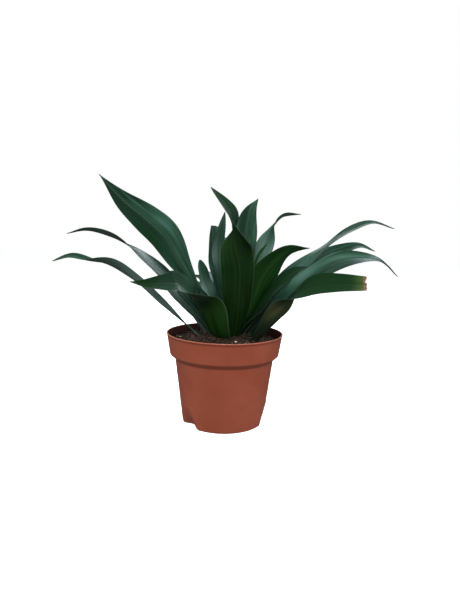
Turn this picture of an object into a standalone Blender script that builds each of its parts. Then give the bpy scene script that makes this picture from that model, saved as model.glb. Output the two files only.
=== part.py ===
"""A dracaena growing in a round terracotta-coloured nursery pot, at its real size.

The origin is the centre of the pot's flat underside, +Z is up and the front faces -Y.
Sizes are in millimetres up to the moment a mesh is made, where MM turns them into metres.
"""
from math import cos, hypot, pi, radians, sin

import bmesh
import bpy
import numpy as np

MM = 0.001
GAP = 0.3                       # clearance between pieces that touch

# Pot: a thin moulded cup with a deep collar under its lip and three scoops round its foot
LIP_RADIUS = 60.0
POT_HEIGHT = 93.4
LIP_ROUND = 0.6
COLLAR_FOOT_Z = 71.9
COLLAR_FOOT_RADIUS = 56.4
SHOULDER_Z = 66.8
SHOULDER_RADIUS = 51.0
BASE_RADIUS = 42.5
BASE_ROUND = 1.2
POT_WALL = 1.2
POT_SIDES = 64
BASE_PAN_RADIUS = 31.0          # flat middle of the base, inside the scoops
DRAIN_HOLE_RADIUS = 3.0
DRAIN_CIRCLE_RADIUS = 22.0
DRAIN_HOLES = 6

SCOOP_HEIGHT = 20.0
SCOOP_DEPTH = 5.5
SCOOP_HALF_WIDTH = 13.5
SCOOP_CURVE = 1.6               # more than 1 rounds the wall into a scoop
SCOOP_LIFT = 1.2                # how far the base edge is raised in the middle of a scoop
SCOOP_BEARINGS = (-142, -10, 106)

# Soil and stem
SOIL_EDGE_Z = 84.0
SOIL_CROWN = 6.5
SOIL_LUMPS = 0.5
STEM_X = 6.0                    # the plant grows a little to the right of the pot's middle
STEM_RADIUS = 7.0
STEM_FOOT_Z = 47.0
STEM_TOP_Z = 126.5
CRATER_FOOT_Z = 57.0            # the soil stays clear of the leaf bases in a cone round the stem
CRATER_SLOPE = 1.0

# Leaves
LEAF_THICKNESS = 0.8
ROWS = 16
COLUMNS = 4
FINE_ROWS = 160
EDGE_WAVE = 1.5
EDGE_WAVES = 2.5
EDGE_LAG = 1.9                  # the right edge waves this much later than the left one
EDGE_HALF = 0.3

LEAF_GREEN = (0.035, 0.085, 0.055)
YOUNG_GREEN = (0.04, 0.13, 0.03)
OLIVE_GREEN = (0.04, 0.07, 0.02)
TERRACOTTA = (0.27, 0.07, 0.04)
SOIL_BROWN = (0.022, 0.014, 0.011)
STEM_GREEN = (0.09, 0.10, 0.05)

# Each leaf leaves the stem at the height `node` and its midrib runs through the points `via`.
# `width` is its widest, `peak` how far along that lies, `neck` and `taper` how fast it narrows
# before and after it, `reach` the share of the outline that is there on a cut leaf, `foot` its width on
# the stem, `gutter` the bend across it in degrees, `roll` its turn about the midrib from base to tip,
# and `twist` one sharp turn as (where, span, degrees).
LEAVES = {
    "leaf_left_low": dict(
        node=59, width=22, peak=0.6, neck=1.4, roll=(0, 0, 5, 25, 30, 20, -20, -45),
        via=[(-31, -4, 93), (-65.5, -8, 123), (-91, -9, 147), (-112, -9, 160.3), (-139, -8, 164.5),
             (-157, -6, 168), (-176, -4, 162.5)]),
    "leaf_right_cut": dict(
        node=60, width=31, peak=0.55, foot=11, neck=1, reach=0.76,
        roll=(0, -10, -15, -25, -16, 26, 40, 42, 38),
        via=[(31, -18, 89), (49, -35, 117), (65.5, -44, 137), (81, -51, 147), (102, -55, 150),
             (126, -61, 151)]),
    "leaf_back_right_low": dict(
        node=59, width=26, neck=1.6, foot=11,
        via=[(28, 28, 94), (58, 62, 126), (80, 86, 143), (94, 100, 143)]),
    "leaf_back_left_low": dict(
        node=65, width=25, foot=12,
        via=[(-24, 24, 97), (-54, 52, 123), (-80, 72, 137), (-98, 86, 134)]),
    "leaf_back_low": dict(
        node=69, width=30,
        via=[(-6, 38, 104), (-16, 84, 136), (-22, 122, 148), (-24, 150, 140), (-24, 168, 124)]),
    "leaf_right_low": dict(
        node=70, width=32, peak=0.5, gutter=(50, 36, 25), roll=(0, 8, 20, 32, 36, 26, 8),
        via=[(39, -6, 107), (64, -10, 134), (86, -13, 154), (107, -16, 168.5), (128, -18, 173.2),
             (151, -19, 171), (168, -19, 156.5)]),
    "leaf_left_mid": dict(
        node=74, width=27, peak=0.48, neck=0.85, roll=(0, -14, -26, -18, -8, 0, 16, 25, 10),
        via=[(-26, 6, 106), (-47, 14, 126), (-73, 28, 152), (-91, 33, 167.5), (-108, 36, 180),
             (-133, 40, 191), (-156, 42, 195.5), (-178, 44, 191)]),
    "leaf_right_mid": dict(
        node=77, width=26, peak=0.5, foot=11, roll=(0, 8, 22, 22, 18, 26, 34),
        via=[(39, 21, 110), (71, 36, 137), (102, 48, 167.5), (129, 54, 180.5), (151, 58, 186),
             (169, 60, 180)]),
    "leaf_back_right_mid": dict(
        node=80, width=28, neck=1.3, foot=10,
        via=[(12, 33, 112), (31, 72, 146), (50, 110, 158), (62, 132, 152)]),
    "leaf_front_folded": dict(
        node=80, width=37.7, peak=0.4, foot=18, taper=1.15, gutter=(50, 74, 58, 42),
        twist=(0.53, 0.28, -64),
        via=[(-7, -17, 92), (-18, -27.5, 121.5), (-28, -34, 130.5), (-45.5, -36.5, 146),
             (-49, -40, 146.5), (-74.5, -38, 145), (-91, -34, 146)]),
    "leaf_back_left_mid": dict(
        node=84, width=24, neck=1.4, foot=10.5,
        via=[(-21, 29, 119), (-50, 60, 143), (-70, 86, 146), (-80, 100, 140)]),
    "leaf_right_high": dict(
        node=84, width=25, peak=0.42, roll=(0, 4, 16, 6, -18, 10, 25),
        via=[(30, 15, 107), (63, 29, 142), (86, 37, 164), (108, 43, 182.5), (136, 50, 202),
             (162, 55, 212), (189, 59, 206)]),
    "leaf_front_tall": dict(
        node=86, width=34, foot=14, taper=0.8, gutter=(50, 30, 20), twist=(0.67, 0.34, -145),
        via=[(12, -18, 109), (13, -29, 138), (12.5, -34, 163), (7.5, -37, 182), (5.5, -38, 199),
             (3.5, -37, 212), (-3, -35, 222), (-16, -29, 236)]),
    "leaf_left_tall": dict(
        node=89, width=34.5, peak=0.58, neck=1.8, taper=1.3, roll=(0, -40, -60, -65, -65),
        via=[(-21, 8, 110), (-37, 18, 142), (-51, 25, 163), (-68.5, 32, 191.5), (-89, 40, 209),
             (-117, 50, 229.5), (-146, 60, 258)]),
    "leaf_right_inner": dict(
        node=90, width=24, roll=(0, 12, 18, 10),
        via=[(38, 5, 123), (56, 9, 145), (74, 12, 158), (97, 12, 163)]),
    "leaf_back_high": dict(
        node=95, width=30, foot=10,
        via=[(8, 26, 124), (12, 62, 168), (16, 100, 190), (20, 140, 188), (24, 164, 174)]),
    "leaf_front_right": dict(
        node=95, width=29, peak=0.52, neck=1.3, foot=12, roll=(0, -20, -40, -30, 0),
        via=[(23, -8, 113), (30.5, -12, 135), (37.5, -15, 152.5), (48, -18, 168), (61, -20, 178.5),
             (80, -22, 182)]),
    "leaf_left_droopy": dict(
        node=98, width=14, foot=10, roll=(0, -40),
        via=[(-12, 10, 112), (-18, 16, 133), (-26, 23, 146), (-36, 32, 150)]),
    "leaf_right_arched": dict(
        node=100, width=23, roll=(0, 6, 12, 20, 32, 28, -30, -35, -30),
        via=[(21, 11, 126), (32, 26, 158), (41.5, 38, 184), (50.5, 46, 205), (62, 52, 216.5),
             (82, 58, 219.5)]),
    "leaf_back_upright": dict(
        node=106, width=24, foot=11,
        via=[(1, 22, 129), (-2, 48, 166), (-6, 78, 188), (-8, 112, 192)]),
    "leaf_left_short": dict(
        node=109.3, width=19, foot=9, taper=0.6, roll=(0, -40),
        via=[(-12, 5, 124), (-20.5, 9, 141), (-28, 12, 167)]),
    "leaf_rear_blunt": dict(
        node=113.2, width=19, foot=9, reach=0.84, roll=(0, -20),
        via=[(-3, 10, 128), (-8.5, 19, 148), (-12.5, 25, 178), (-13.5, 29, 203)]),
    "leaf_rear_wide": dict(
        node=116.5, width=28, peak=0.55, foot=11, taper=1, roll=(0, 10),
        via=[(17, 16, 139), (20, 30, 178), (21, 38, 205), (25, 44, 222), (33, 56, 235)]),
    "leaf_centre_narrow": dict(
        node=119, width=19, roll=(0, -15),
        via=[(-2, 7, 133), (-7, 11, 152), (-9, 14, 183), (-3, 16, 217)]),
    "leaf_heart_outer": dict(
        node=119.5, width=16, foot=10,
        via=[(19, -5, 132), (26, 5, 155), (34, 10, 174), (42, 12, 186)]),
    "leaf_heart_inner": dict(
        node=124.5, width=15, foot=10,
        via=[(14, 2, 142), (20, 5, 172), (27, 7, 200)]),
}
YOUNG_LEAVES = ("leaf_front_right", "leaf_heart_outer", "leaf_heart_inner")
OLIVE_LEAVES = ("leaf_front_tall", "leaf_front_folded")


# Scene, materials and mesh helpers

def clear_scene():
    for ob in list(bpy.data.objects):
        bpy.data.objects.remove(ob, do_unlink=True)


def plain_material(name, colour, roughness):
    material = bpy.data.materials.new(name)
    material.use_nodes = True
    shader = material.node_tree.nodes["Principled BSDF"]
    shader.inputs["Base Color"].default_value = (*colour, 1.0)
    shader.inputs["Roughness"].default_value = roughness
    material.diffuse_color = (*colour, 1.0)
    return material


def finished_object(name, bm, parent, colour, roughness):
    """Turn a bmesh made in millimetres into a smooth-shaded object in metres."""
    bmesh.ops.scale(bm, vec=(MM, MM, MM), verts=bm.verts)
    mesh = bpy.data.meshes.new(name)
    bm.to_mesh(mesh)
    bm.free()
    mesh.shade_smooth()
    mesh.set_sharp_from_angle(angle=radians(35))
    mesh.materials.append(plain_material(name + "_look", colour, roughness))
    ob = bpy.data.objects.new(name, mesh)
    bpy.context.scene.collection.objects.link(ob)
    ob.parent = parent
    return ob


def skin_of_rings(rings):
    """Close a run of rings into one body, with a flat cap on the first ring and on the last."""
    bm = bmesh.new()
    loops = [[bm.verts.new(point) for point in ring] for ring in rings]
    for low, high in zip(loops, loops[1:]):
        for k in range(len(low)):
            after = (k + 1) % len(low)
            bm.faces.new((low[k], low[after], high[after], high[k]))
    bm.faces.new(loops[0])
    bm.faces.new(loops[-1])
    bmesh.ops.recalc_face_normals(bm, faces=bm.faces)
    return bm


def circle(radius, z, centre_x=0.0, sides=POT_SIDES):
    turns = [2 * pi * k / sides for k in range(sides)]
    return [(centre_x + radius * cos(turn), radius * sin(turn), z) for turn in turns]


# Pot

def wall_radius(z):
    """Outer radius of the pot at a height, before the scoops."""
    heights = (0, BASE_ROUND / 3, BASE_ROUND, SHOULDER_Z, COLLAR_FOOT_Z,
               POT_HEIGHT - LIP_ROUND, POT_HEIGHT)
    radii = (BASE_RADIUS - BASE_ROUND, BASE_RADIUS - BASE_ROUND / 3, BASE_RADIUS, SHOULDER_RADIUS,
             COLLAR_FOOT_RADIUS, LIP_RADIUS, LIP_RADIUS - LIP_ROUND)
    return float(np.interp(z, heights, radii))


def scoop_depth(bearing, z):
    """Depth of the nearest scoop, whose outline is a parabola that shrinks upward."""
    share = 0.0
    for centre in SCOOP_BEARINGS:
        away = (bearing - radians(centre) + pi) % (2 * pi) - pi
        across = away * BASE_RADIUS / SCOOP_HALF_WIDTH
        share = max(share, 1 - z / SCOOP_HEIGHT - across**2)
    return SCOOP_DEPTH * share**SCOOP_CURVE


def wall_ring(z, inset=0.0, level=None):
    """A ring on the pot's wall, moved in by `inset`, with the scoops pressed into it."""
    ring = []
    for k in range(POT_SIDES):
        bearing = 2 * pi * k / POT_SIDES
        depth = scoop_depth(bearing, z)
        radius = wall_radius(z) - inset - depth
        height = (z if level is None else level) + depth * SCOOP_LIFT / SCOOP_DEPTH
        ring.append((radius * cos(bearing), radius * sin(bearing), height))
    return ring


def make_pot(parent):
    side_heights = (BASE_ROUND, 5, 9, 13, 17, SCOOP_HEIGHT, SHOULDER_Z, COLLAR_FOOT_Z,
                    POT_HEIGHT - LIP_ROUND)
    outside = [wall_ring(0), wall_ring(BASE_ROUND / 3)] + [wall_ring(z) for z in side_heights]
    lip = [wall_ring(POT_HEIGHT), circle(LIP_RADIUS - POT_WALL, POT_HEIGHT - LIP_ROUND)]
    inner_heights = (COLLAR_FOOT_Z, SHOULDER_Z, SCOOP_HEIGHT, 17, 13, 9, 5)
    inside = [wall_ring(z, POT_WALL) for z in inner_heights]
    corner = wall_ring(BASE_ROUND, POT_WALL + BASE_ROUND / 2, level=POT_WALL)
    under = circle(BASE_PAN_RADIUS, 0)
    floor = circle(BASE_PAN_RADIUS, POT_WALL)
    bm = skin_of_rings([under] + outside + lip + inside + [corner, floor])
    pot = finished_object("pot", bm, parent, TERRACOTTA, 0.45)
    for k in range(DRAIN_HOLES):
        drill_drain_hole(pot, 2 * pi * (k + 0.5) / DRAIN_HOLES, parent)
    return pot


def drill_drain_hole(pot, bearing, parent):
    x = DRAIN_CIRCLE_RADIUS * cos(bearing)
    y = DRAIN_CIRCLE_RADIUS * sin(bearing)
    reach = 3 * POT_WALL
    bottom = [(x + p[0], y + p[1], -reach) for p in circle(DRAIN_HOLE_RADIUS, 0, sides=16)]
    top = [(point[0], point[1], reach) for point in bottom]
    cutter = finished_object("drain_hole_cutter", skin_of_rings([bottom, top]), parent, TERRACOTTA, 0.45)
    cutter.hide_render = True
    cutter.display_type = "WIRE"
    cut = pot.modifiers.new("drain hole", "BOOLEAN")
    cut.operation = "DIFFERENCE"
    cut.object = cutter


# Soil and stem

def soil_height(x, y):
    """Lumpy mound that falls away into the crater round the stem."""
    mound = SOIL_EDGE_Z + SOIL_CROWN * (1 - (hypot(x, y) / LIP_RADIUS)**2)
    lumps = SOIL_LUMPS * (sin(0.31 * x + 1.1) * cos(0.27 * y) + 0.6 * sin(0.52 * y - 0.2 * x))
    crater = CRATER_FOOT_Z + CRATER_SLOPE * (hypot(x - STEM_X, y) - STEM_RADIUS - GAP)
    return min(mound + lumps, crater)


def make_soil(parent):
    hole_radius = STEM_RADIUS + GAP
    inset = POT_WALL + GAP
    hole = [circle(hole_radius, STEM_FOOT_Z - GAP, STEM_X), circle(hole_radius, CRATER_FOOT_Z, STEM_X)]
    rim = circle(wall_radius(SOIL_EDGE_Z) - inset, SOIL_EDGE_Z)
    surface = []
    for share in (0.2, 0.4, 0.6, 0.68, 0.78, 0.88, 1.0):
        ring = []
        for near, far in zip(hole[1], rim):
            x = near[0] + (far[0] - near[0]) * share
            y = near[1] + (far[1] - near[1]) * share
            ring.append((x, y, soil_height(x, y)))
        surface.append(ring)
    side = [wall_ring(z, inset) for z in (COLLAR_FOOT_Z, SHOULDER_Z, SCOOP_HEIGHT, 17, 13, 9, 5)]
    corner = wall_ring(BASE_ROUND, inset + BASE_ROUND / 2, level=inset)
    foot = circle(BASE_PAN_RADIUS, inset)
    bm = skin_of_rings(hole + surface + side + [corner, foot])
    return finished_object("soil", bm, parent, SOIL_BROWN, 0.95)


def make_stem(parent):
    tip = STEM_RADIUS / 2
    profile = ((STEM_RADIUS, STEM_FOOT_Z), (STEM_RADIUS, STEM_TOP_Z - tip),
               (0.85 * STEM_RADIUS, STEM_TOP_Z - 0.4 * tip), (tip, STEM_TOP_Z))
    rings = [circle(radius, z, STEM_X, sides=32) for radius, z in profile]
    return finished_object("stem", skin_of_rings(rings), parent, STEM_GREEN, 0.6)


# Leaves

def through(values, along):
    """Smooth run through values that stand at even steps from 0 to 1."""
    values = np.array(values, float)
    if len(values) == 1:
        return values[0] + 0 * along
    x = np.clip(along, 0, 1) * (len(values) - 1)
    i = np.minimum(x.astype(int), len(values) - 2)
    f = x - i
    padded = np.r_[2 * values[0] - values[1], values, 2 * values[-1] - values[-2]]
    a, b, c, d = padded[i], padded[i + 1], padded[i + 2], padded[i + 3]
    return b + 0.5 * f * (c - a + f * (2 * a - 5 * b + 4 * c - d + f * (3 * (b - c) + d - a)))


def smooth_curve(points):
    """Centripetal Catmull-Rom curve through the points, read at even steps of its length."""
    p = np.array(points, float)
    p = np.vstack([2 * p[0] - p[1], p, 2 * p[-1] - p[-2]])
    curve = []
    for a, b, c, d in zip(p[:-3], p[1:-2], p[2:-1], p[3:]):
        t1 = np.linalg.norm(b - a)**0.5
        t2 = t1 + np.linalg.norm(c - b)**0.5
        t3 = t2 + np.linalg.norm(d - c)**0.5
        for t in np.linspace(t1, t2, 40, endpoint=False):
            ab = (t1 - t) / t1 * a + t / t1 * b
            bc = (t2 - t) / (t2 - t1) * b + (t - t1) / (t2 - t1) * c
            cd = (t3 - t) / (t3 - t2) * c + (t - t2) / (t3 - t2) * d
            abc = (t2 - t) / t2 * ab + t / t2 * bc
            bcd = (t3 - t) / (t3 - t1) * bc + (t - t1) / (t3 - t1) * cd
            curve.append((t2 - t) / (t2 - t1) * abc + (t - t1) / (t2 - t1) * bcd)
    curve.append(p[-2])
    curve = np.array(curve)
    run = np.r_[0, np.cumsum(np.linalg.norm(np.diff(curve, axis=0), axis=1))]
    even = np.linspace(0, run[-1], FINE_ROWS + 1)
    return np.stack([np.interp(even, run, curve[:, k]) for k in range(3)], -1)


def midrib_frames(leaf):
    """Points of the midrib with the direction across the blade and out of its upper face."""
    first = leaf["via"][0]
    bearing = np.arctan2(first[1], first[0] - STEM_X)
    foot = STEM_RADIUS + GAP + LEAF_THICKNESS / 2
    start = (STEM_X + foot * cos(bearing), foot * sin(bearing), leaf["node"])
    points = smooth_curve([start] + leaf["via"])
    ahead = np.gradient(points, axis=0)
    ahead /= np.linalg.norm(ahead, axis=1)[:, None]
    across = np.array([-sin(bearing), cos(bearing), 0.0])
    sides = []
    for tangent in ahead:
        across = across - tangent * (across @ tangent)
        across = across / np.linalg.norm(across)
        sides.append(across)
    sides = np.array(sides)
    faces = np.cross(ahead, sides)
    along = np.linspace(0, 1, FINE_ROWS + 1)
    roll = np.radians(through(leaf.get("roll", (0,)), along))
    if "twist" in leaf:
        where, span, degrees = leaf["twist"]
        share = np.clip((along - where) / span + 0.5, 0, 1)
        roll = roll + radians(degrees) * share**2 * (3 - 2 * share)
    c = np.cos(roll)[:, None]
    s = np.sin(roll)[:, None]
    return points, sides * c + faces * s, faces * c - sides * s


def half_widths(leaf, along):
    peak = leaf.get("peak", 0.45)
    x = along * leaf.get("reach", 1.0)
    blade = np.maximum(np.sin(pi * x**(np.log(0.5) / np.log(peak))), 0)
    blade = np.where(x > peak, blade**leaf.get("taper", 0.9), blade**leaf.get("neck", 0.8))
    foot = leaf.get("foot", 13.0) / 2
    return np.hypot(leaf["width"] / 2 * blade, foot * (1 - along)**4) + EDGE_HALF


def blade_grid(leaf):
    """Middle surface of a leaf as rows from base to tip, hollow above and waved at its edges."""
    along = np.linspace(0, 1, ROWS + 1)
    fine = np.linspace(0, 1, FINE_ROWS + 1)
    points, sides, faces = [
        np.stack([np.interp(along, fine, field[:, k]) for k in range(3)], -1)
        for field in midrib_frames(leaf)]
    half = half_widths(leaf, along)
    away = np.hypot(points[:, 0] - STEM_X, points[:, 1])
    clasp = np.minimum(2 * half / away, radians(115))
    bend = np.maximum(np.radians(through(leaf.get("gutter", (60, 45, 30)), along)), clasp)
    curvature = (bend / (2 * half))[:, None]
    u = np.linspace(-1, 1, COLUMNS + 1)[None, :]
    arc = u * half[:, None] * curvature
    ripple = np.sin(2 * pi * EDGE_WAVES * along[:, None] + np.where(u > 0, EDGE_LAG, 0))
    ripple = EDGE_WAVE * np.sin(pi * along[:, None]) * u**2 * ripple
    lateral = np.sin(arc) / curvature
    lift = (1 - np.cos(arc)) / curvature + ripple
    return points[:, None] + sides[:, None] * lateral[..., None] + faces[:, None] * lift[..., None]


def make_leaf(name, leaf, parent):
    grid = blade_grid(leaf)
    bm = bmesh.new()
    verts = [[bm.verts.new(point) for point in row] for row in grid]
    for low, high in zip(verts, verts[1:]):
        for k in range(COLUMNS):
            a, b, c, d = low[k], low[k + 1], high[k + 1], high[k]
            if k < COLUMNS / 2:
                corners = ((a, c, d), (a, b, c))
            else:
                corners = ((a, b, d), (b, c, d))
            for triangle in corners:
                bm.faces.new(triangle)
    colour = LEAF_GREEN
    if name in YOUNG_LEAVES:
        colour = YOUNG_GREEN
    if name in OLIVE_LEAVES:
        colour = OLIVE_GREEN
    ob = finished_object(name, bm, parent, colour, 0.35)
    body = ob.modifiers.new("thickness", "SOLIDIFY")
    body.thickness = LEAF_THICKNESS * MM
    body.offset = 0.0
    return ob


def make_plant():
    clear_scene()
    plant = bpy.data.objects.new("potted_dracaena", None)
    bpy.context.scene.collection.objects.link(plant)
    make_pot(plant)
    make_soil(plant)
    make_stem(plant)
    for name, leaf in LEAVES.items():
        make_leaf(name, leaf, plant)


make_plant()
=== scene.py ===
"""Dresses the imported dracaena: fine leaves, moulded pot, peat, studio light and camera.

Lengths are in millimetres up to the moment a mesh is made, where MM turns them into metres.
"""

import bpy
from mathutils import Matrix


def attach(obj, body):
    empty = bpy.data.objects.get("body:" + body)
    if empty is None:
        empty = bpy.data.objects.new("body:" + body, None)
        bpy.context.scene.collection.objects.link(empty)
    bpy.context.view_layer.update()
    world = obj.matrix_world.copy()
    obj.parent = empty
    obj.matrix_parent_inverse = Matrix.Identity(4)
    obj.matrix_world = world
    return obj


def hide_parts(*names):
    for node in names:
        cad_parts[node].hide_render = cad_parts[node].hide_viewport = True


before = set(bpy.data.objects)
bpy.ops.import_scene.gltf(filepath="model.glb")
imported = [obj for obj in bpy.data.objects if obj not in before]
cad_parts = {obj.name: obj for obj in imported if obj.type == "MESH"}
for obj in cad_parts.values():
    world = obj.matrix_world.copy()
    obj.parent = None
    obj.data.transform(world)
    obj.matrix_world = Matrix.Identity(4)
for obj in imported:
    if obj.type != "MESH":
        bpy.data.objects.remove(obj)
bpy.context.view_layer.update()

from math import cos, hypot, pi, radians, sin

import bpy
import numpy as np
from mathutils import Matrix

MM = 0.001
GAP = 0.3                       # between the leaves and the stem, and the soil and the pot

# Pot, as the CAD pot, with more sides
LIP_RADIUS = 60.0
POT_HEIGHT = 93.4
LIP_BAND = 1.3                  # height of the lip's upright band
LIP_UNDERSIDE = 1.6             # how far down the slope under that band ends
LIP_SET_BACK = 0.5              # how far back the wall stands there
COLLAR_FOOT_Z = 71.9
COLLAR_FOOT_RADIUS = 56.4
SHOULDER_Z = 66.8
SHOULDER_RADIUS = 51.0
BASE_RADIUS = 42.5
BASE_ROUND = 1.2                # height of the slope round the foot
BASE_SET_BACK = 0.5             # how far inside BASE_RADIUS that slope starts
BASE_FLARE = 0.1                # and how far outside it ends
POT_WALL = 1.2
POT_CORNER_ROUND = 0.5
CORNER_SHARE = 0.45             # most of a side that a rounded corner takes
POT_SIDES = 288
OUTSIDE_STEP = 1.2              # longest step of the profile, outside and inside
INSIDE_STEP = 1.6
BASE_PAN_RADIUS = 31.0
DRAIN_HOLE_RADIUS = 3.0
DRAIN_CIRCLE_RADIUS = 22.0
DRAIN_HOLES = 6
DRAIN_PIN_SIDES = 40
SCOOP_HEIGHT = 20.0
SCOOP_DEPTH = 5.5
SCOOP_HALF_WIDTH = 13.5
SCOOP_CURVE = 1.6               # more than 1 rounds the wall into a scoop
SCOOP_LIFT = 1.2                # how far the foot rises where a scoop is deepest
SCOOP_RIM = 0.35                # height of the low rim round a scoop, and half its width
SCOOP_RIM_HALF = 0.9
SCOOP_RIM_REACH = 2             # height above a scoop where the rim has died out
SCOOP_BEARINGS = (-142, -10, 106)

# Soil and stem
SOIL_EDGE_Z = 84.0
SOIL_EDGE_RADIUS = 56.568
SOIL_CROWN = 6.5
SOIL_RINGS = 89
SOIL_SIDES = 260
SOIL_CROWDING = 0.8             # less than 1 sets the soil's rings closer toward the edge
SOIL_BUMPS = ((0.9, 9.0), (0.55, 3.6), (0.3, 1.6), (0.14, 0.8))    # (height, width) from coarse to fine
SOIL_FIRST_SEED = 3
SOIL_BODY = ((SOIL_EDGE_RADIUS - 0.4, COLLAR_FOOT_Z + 2), (SHOULDER_RADIUS - 3, SHOULDER_Z - 2),
             (BASE_RADIUS - 6, 24), (BASE_PAN_RADIUS, POT_WALL + GAP))     # its (radius, height) below
NOISE_TABLE = 256               # sides of the table of random values behind value_noise
NOISE_START = (97.3, 41.9)      # and where in it x = 0 and y = 0 fall
STEM_X = 6.0
STEM_RADIUS = 7.0

# What lies on the soil
GRAIN_BOX = 55                  # grains are drawn in a square of this half side
GRAIN_REACH = 53.5              # and kept within this radius
GRAIN_CORNERS = 12              # those of an icosahedron
GRAIN_JITTER = (0.65, 1.2)      # a corner's distance from the middle, as a share of the radius
GRAIN_STRETCH = (1.0, 1.9)
GRAIN_FLATNESS = (0.45, 0.9)
GRAIN_TIP = (-0.6, 0.6)         # radians
GRAIN_LIFT = 0.25               # share of its radius by which a grain's middle clears the soil
FIBRE_START = 53                # fibres start within this radius
FIBRE_REACH = 54                # and are kept within this one
FIBRE_RINGS = 7                 # a fibre is a run of rings of three points
FIBRE_LENGTHS = (3, 11)
FIBRE_BENDS = (-0.35, 0.35)     # radians from one ring to the next
FIBRE_HALVES = (0.10, 0.24)     # half its thickness
FIBRE_ARCH = 0.35
FIBRE_ARCH_SHARES = (0.2, 1.4)

# Leaves
LEAF_THICKNESS = 0.8
MARGIN_THICKNESS = 0.3
LEAF_ROWS = 72
LEAF_COLUMNS = 24
COLUMN_CROWDING = 1.25          # more than 1 sets the columns closer toward the midrib
FINE_ROWS = 160
CURVE_STEPS = 40                # between two points of a midrib, before it is read at even steps
LARGEST_CLASP = 115             # degrees of the stem that a foot may wrap
FOOT_SPREAD = 4                 # how fast the clasping foot gives way to the blade
EDGE_WAVE = 1.5
EDGE_WAVES = 2.5
EDGE_LAG = 1.9                  # radians by which one edge's waves trail the other's
EDGE_HALF = 0.3
MIDRIB_GROOVE = 0.35
MIDRIB_KEEL = 0.45
MIDRIB_HALF = 1.1
MIDRIB_FULL_HALF = 6            # half width of the blade from which the midrib is at its full height
PLEAT_DEPTH = 0.07
PLEAT_PITCH = 4.2
TORN_SHARE = 0.002              # share of its length that a torn end loses, and its (depth, width) tears
DEEP_TEARS = (0.008, 3.0)
SMALL_TEARS = (0.006, 1.1)

# Leaf colours
EDGE_DARK = (0.014, 0.038, 0.018)
EDGE_LIGHT = (0.040, 0.074, 0.044)
MARGIN_GREEN = (0.034, 0.068, 0.040)
# a painted sheen, where a leaf's tone passes 1
SHEEN_GREEN = (0.095, 0.160, 0.140)
# a painted highlight along the lit second edge of the olive leaves
HIGHLIGHT_GREEN = (0.070, 0.100, 0.060)
SHADE_GREEN = (0.0035, 0.018, 0.0035)   # painted shade on a leaf's green deep in the plant
FADED_OLIVE = (0.070, 0.074, 0.032)     # a faded stretch half way along the cut leaf
BARE_BROWN = (0.013, 0.012, 0.007)      # its brown foot
WORN_GREEN = (0.029, 0.049, 0.012)      # its worn end
DRY_BROWN = (0.110, 0.062, 0.030)       # and the dry rim of that

# Distances on a leaf, in metres as its measured fields are; a pair says where an effect starts to
# show and where it is full
MIDRIB_SHADE = 0.0012
MARGIN_LINE = (0.0008, 0.0002)          # from the edge
# from the second edge, for its painted highlight
HIGHLIGHT_LINE = (0.0014, 0.0005)
FADED_PLACE = 0.088                     # from the cut
FADED_RANGE = (0.028, 0.002)            # from the middle of the faded stretch
BARE_RANGE = (0.092, 0.135)             # from the cut
WORN_LENGTH = 0.020
DRY_LINE = (0.0016, 0.0004)
DRY_UNEVEN = 0.003

# Where the painted light and shade of LEAF_TONES give way to each other
TONE_TURN = 4                   # how sharply the tone changes from side to side at the midrib
FOOT_TONE_END = 0.48            # share of the length where the foot's tone has gone
TIP_TONE_START = 0.55           # share where the tip's tone begins to show
TIP_TONE_SPAN = 0.4             # and the share over which it takes over

# Lines along a blade, as waves in a metre across and along it
FINE_LINES = (700.0, 10.0)
BROAD_LINES = (340.0, 7.0)
# BANDS also lay out the bands of painted sheen on a leaf
BANDS = (80.0, 16.0)

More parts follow.
